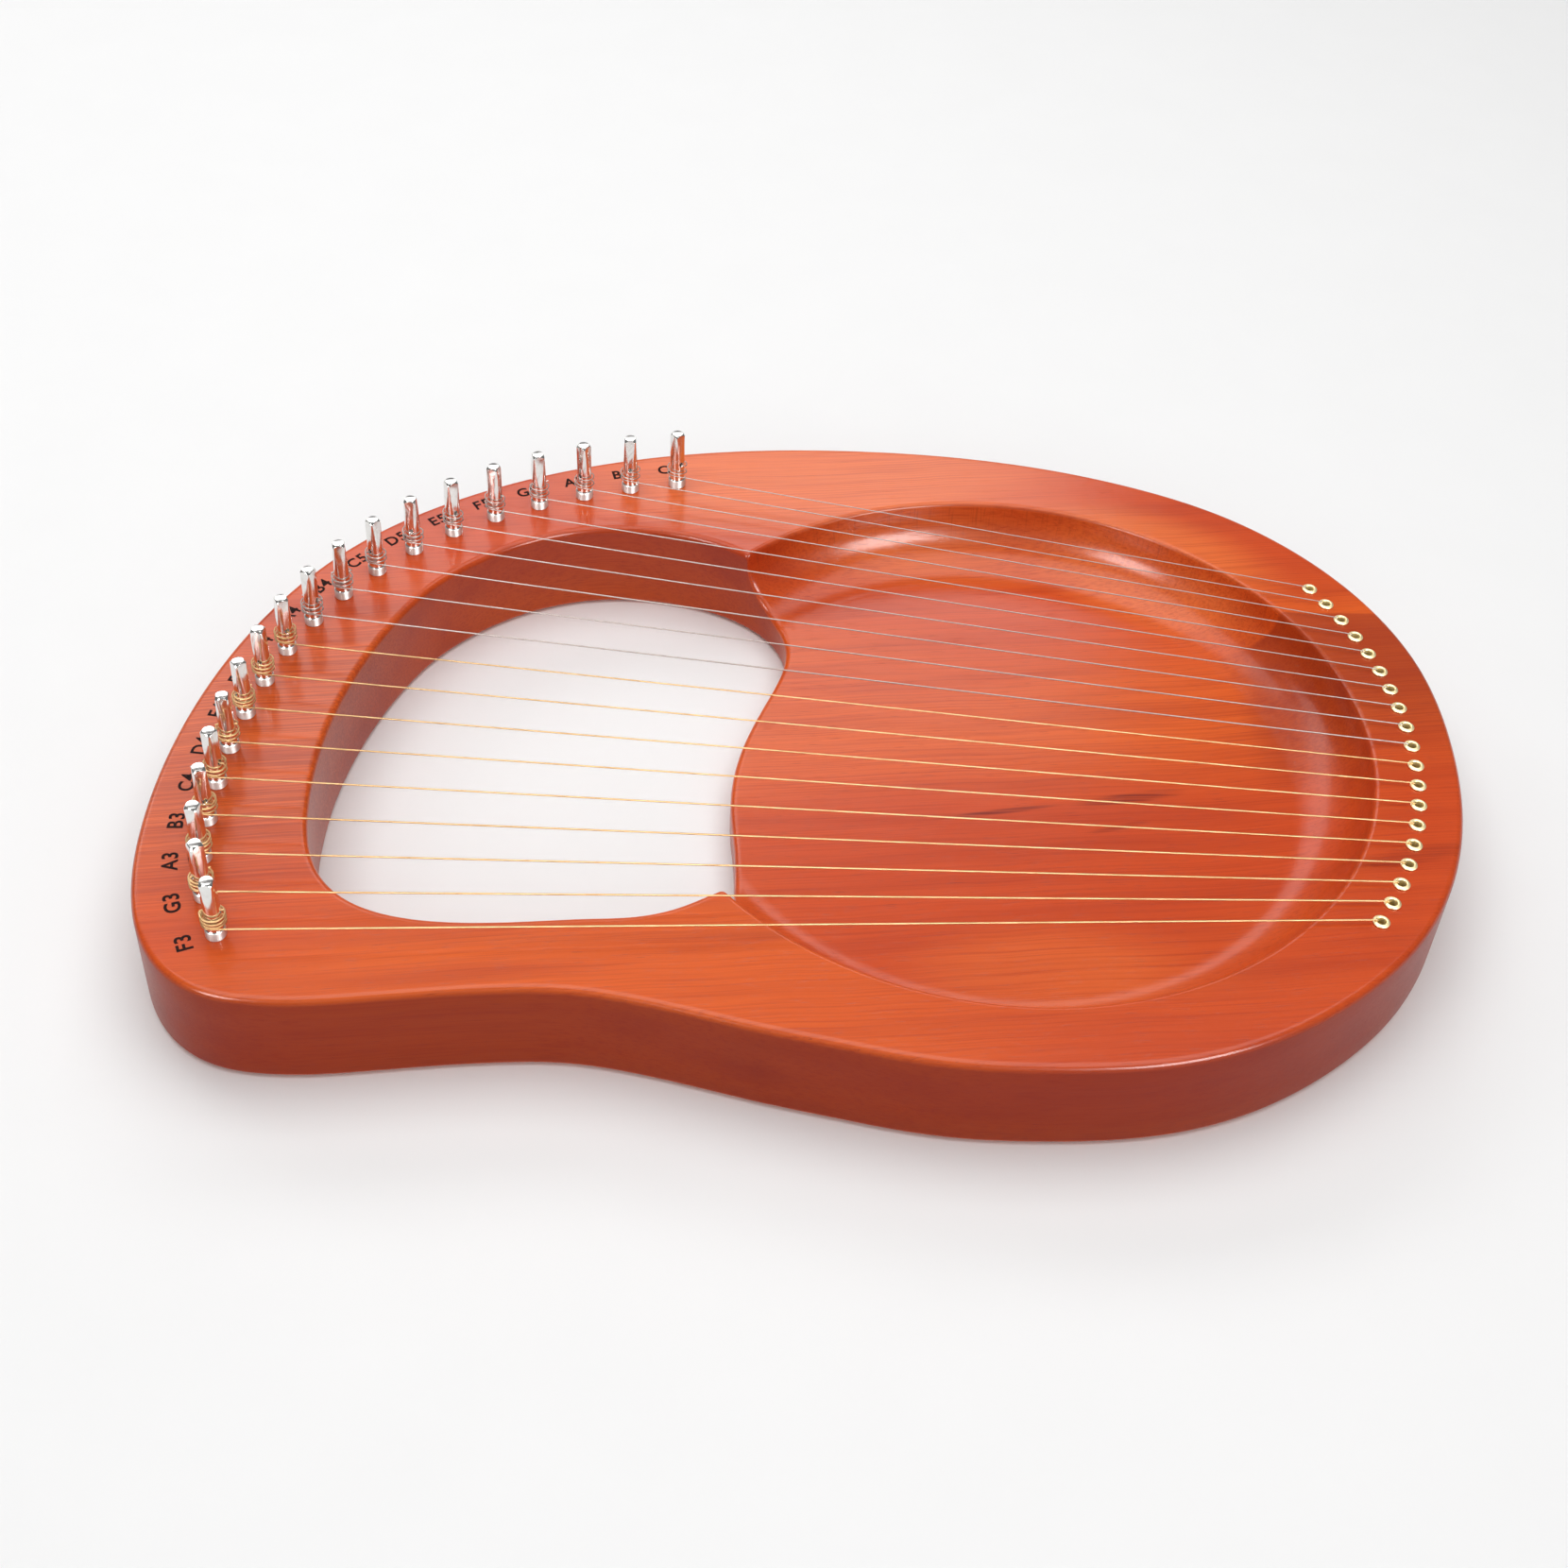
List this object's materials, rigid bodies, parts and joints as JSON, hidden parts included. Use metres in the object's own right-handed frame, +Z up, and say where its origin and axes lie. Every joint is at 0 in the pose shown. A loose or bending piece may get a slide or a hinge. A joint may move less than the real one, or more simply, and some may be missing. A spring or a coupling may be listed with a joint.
{
  "type": "lyre harp",
  "caption": "Flat kidney-shaped lyre harp of solid wood: hand opening, round carved dish, tuning pins that turn along the curved arm, and strings running to brass eyelets.",
  "frame": {"origin": "on the back face, under the middle of the board's outline", "axes": "+X along the wood grain from the tuning arm to the dish, +Y away from the player's low-string side, +Z up out of the stringed face"},
  "size_m": [0.364, 0.256, 0.05],
  "materials": {
    "stained_wood": "satin lacquer over red-brown stain, grain along X",
    "nickel": "bright nickel plate",
    "eyelet_brass": "polished",
    "wound_wire": "fine brass winding",
    "plain_wire": "drawn steel wire"
  },
  "bodies": {
    "harp": {"harp_body": "stained_wood", "string_F3": "wound_wire", "string_G3": "wound_wire", "string_A3": "wound_wire", "string_B3": "wound_wire", "string_C4": "wound_wire", "string_D4": "wound_wire", "string_E4": "wound_wire", "string_F4": "wound_wire", "string_G4": "wound_wire", "string_A4": "plain_wire", "string_B4": "plain_wire", "string_C5": "plain_wire", "string_D5": "plain_wire", "string_E5": "plain_wire", "string_F5": "plain_wire", "string_G5": "plain_wire", "string_A5": "plain_wire", "string_B5": "plain_wire", "string_C6": "plain_wire", "eyelet_F3": "eyelet_brass", "eyelet_G3": "eyelet_brass", "eyelet_A3": "eyelet_brass", "eyelet_B3": "eyelet_brass", "eyelet_C4": "eyelet_brass", "eyelet_D4": "eyelet_brass", "eyelet_E4": "eyelet_brass", "eyelet_F4": "eyelet_brass", "eyelet_G4": "eyelet_brass", "eyelet_A4": "eyelet_brass", "eyelet_B4": "eyelet_brass", "eyelet_C5": "eyelet_brass", "eyelet_D5": "eyelet_brass", "eyelet_E5": "eyelet_brass", "eyelet_F5": "eyelet_brass", "eyelet_G5": "eyelet_brass", "eyelet_A5": "eyelet_brass", "eyelet_B5": "eyelet_brass", "eyelet_C6": "eyelet_brass"},
    "pin_F3": {"tuning_pin_F3": "nickel"},
    "pin_G3": {"tuning_pin_G3": "nickel"},
    "pin_A3": {"tuning_pin_A3": "nickel"},
    "pin_B3": {"tuning_pin_B3": "nickel"},
    "pin_C4": {"tuning_pin_C4": "nickel"},
    "pin_D4": {"tuning_pin_D4": "nickel"},
    "pin_E4": {"tuning_pin_E4": "nickel"},
    "pin_F4": {"tuning_pin_F4": "nickel"},
    "pin_G4": {"tuning_pin_G4": "nickel"},
    "pin_A4": {"tuning_pin_A4": "nickel"},
    "pin_B4": {"tuning_pin_B4": "nickel"},
    "pin_C5": {"tuning_pin_C5": "nickel"},
    "pin_D5": {"tuning_pin_D5": "nickel"},
    "pin_E5": {"tuning_pin_E5": "nickel"},
    "pin_F5": {"tuning_pin_F5": "nickel"},
    "pin_G5": {"tuning_pin_G5": "nickel"},
    "pin_A5": {"tuning_pin_A5": "nickel"},
    "pin_B5": {"tuning_pin_B5": "nickel"},
    "pin_C6": {"tuning_pin_C6": "nickel"}
  },
  "joints": [
    {"name": "turn_F3", "type": "hinge", "parent": "harp", "child": "pin_F3", "pos_m": [-0.155, -0.088, 0.03], "axis": [0, 0, -1], "range_deg": [-1080, 180]},
    {"name": "turn_G3", "type": "hinge", "parent": "harp", "child": "pin_G3", "pos_m": [-0.16018, -0.07511, 0.03], "axis": [0, 0, -1], "range_deg": [-1080, 180]},
    {"name": "turn_A3", "type": "hinge", "parent": "harp", "child": "pin_A3", "pos_m": [-0.16311, -0.06144, 0.03], "axis": [0, 0, -1], "range_deg": [-1080, 180]},
    {"name": "turn_B3", "type": "hinge", "parent": "harp", "child": "pin_B3", "pos_m": [-0.164, -0.04741, 0.03], "axis": [0, 0, -1], "range_deg": [-1080, 180]},
    {"name": "turn_C4", "type": "hinge", "parent": "harp", "child": "pin_C4", "pos_m": [-0.16363, -0.03327, 0.03], "axis": [0, 0, -1], "range_deg": [-1080, 180]},
    {"name": "turn_D4", "type": "hinge", "parent": "harp", "child": "pin_D4", "pos_m": [-0.16239, -0.01909, 0.03], "axis": [0, 0, -1], "range_deg": [-1080, 180]},
    {"name": "turn_E4", "type": "hinge", "parent": "harp", "child": "pin_E4", "pos_m": [-0.16017, -0.00496, 0.03], "axis": [0, 0, -1], "range_deg": [-1080, 180]},
    {"name": "turn_F4", "type": "hinge", "parent": "harp", "child": "pin_F4", "pos_m": [-0.15683, 0.00904, 0.03], "axis": [0, 0, -1], "range_deg": [-1080, 180]},
    {"name": "turn_G4", "type": "hinge", "parent": "harp", "child": "pin_G4", "pos_m": [-0.15223, 0.02276, 0.03], "axis": [0, 0, -1], "range_deg": [-1080, 180]},
    {"name": "turn_A4", "type": "hinge", "parent": "harp", "child": "pin_A4", "pos_m": [-0.14625, 0.03602, 0.03], "axis": [0, 0, -1], "range_deg": [-1080, 180]},
    {"name": "turn_B4", "type": "hinge", "parent": "harp", "child": "pin_B4", "pos_m": [-0.13882, 0.04862, 0.03], "axis": [0, 0, -1], "range_deg": [-1080, 180]},
    {"name": "turn_C5", "type": "hinge", "parent": "harp", "child": "pin_C5", "pos_m": [-0.12991, 0.06032, 0.03], "axis": [0, 0, -1], "range_deg": [-1080, 180]},
    {"name": "turn_D5", "type": "hinge", "parent": "harp", "child": "pin_D5", "pos_m": [-0.11959, 0.07092, 0.03], "axis": [0, 0, -1], "range_deg": [-1080, 180]},
    {"name": "turn_E5", "type": "hinge", "parent": "harp", "child": "pin_E5", "pos_m": [-0.108, 0.08024, 0.03], "axis": [0, 0, -1], "range_deg": [-1080, 180]},
    {"name": "turn_F5", "type": "hinge", "parent": "harp", "child": "pin_F5", "pos_m": [-0.09534, 0.0882, 0.03], "axis": [0, 0, -1], "range_deg": [-1080, 180]},
    {"name": "turn_G5", "type": "hinge", "parent": "harp", "child": "pin_G5", "pos_m": [-0.08183, 0.09478, 0.03], "axis": [0, 0, -1], "range_deg": [-1080, 180]},
    {"name": "turn_A5", "type": "hinge", "parent": "harp", "child": "pin_A5", "pos_m": [-0.06766, 0.10004, 0.03], "axis": [0, 0, -1], "range_deg": [-1080, 180]},
    {"name": "turn_B5", "type": "hinge", "parent": "harp", "child": "pin_B5", "pos_m": [-0.053, 0.10408, 0.03], "axis": [0, 0, -1], "range_deg": [-1080, 180]},
    {"name": "turn_C6", "type": "hinge", "parent": "harp", "child": "pin_C6", "pos_m": [-0.038, 0.107, 0.03], "axis": [0, 0, -1], "range_deg": [-1080, 180]}
  ]
}
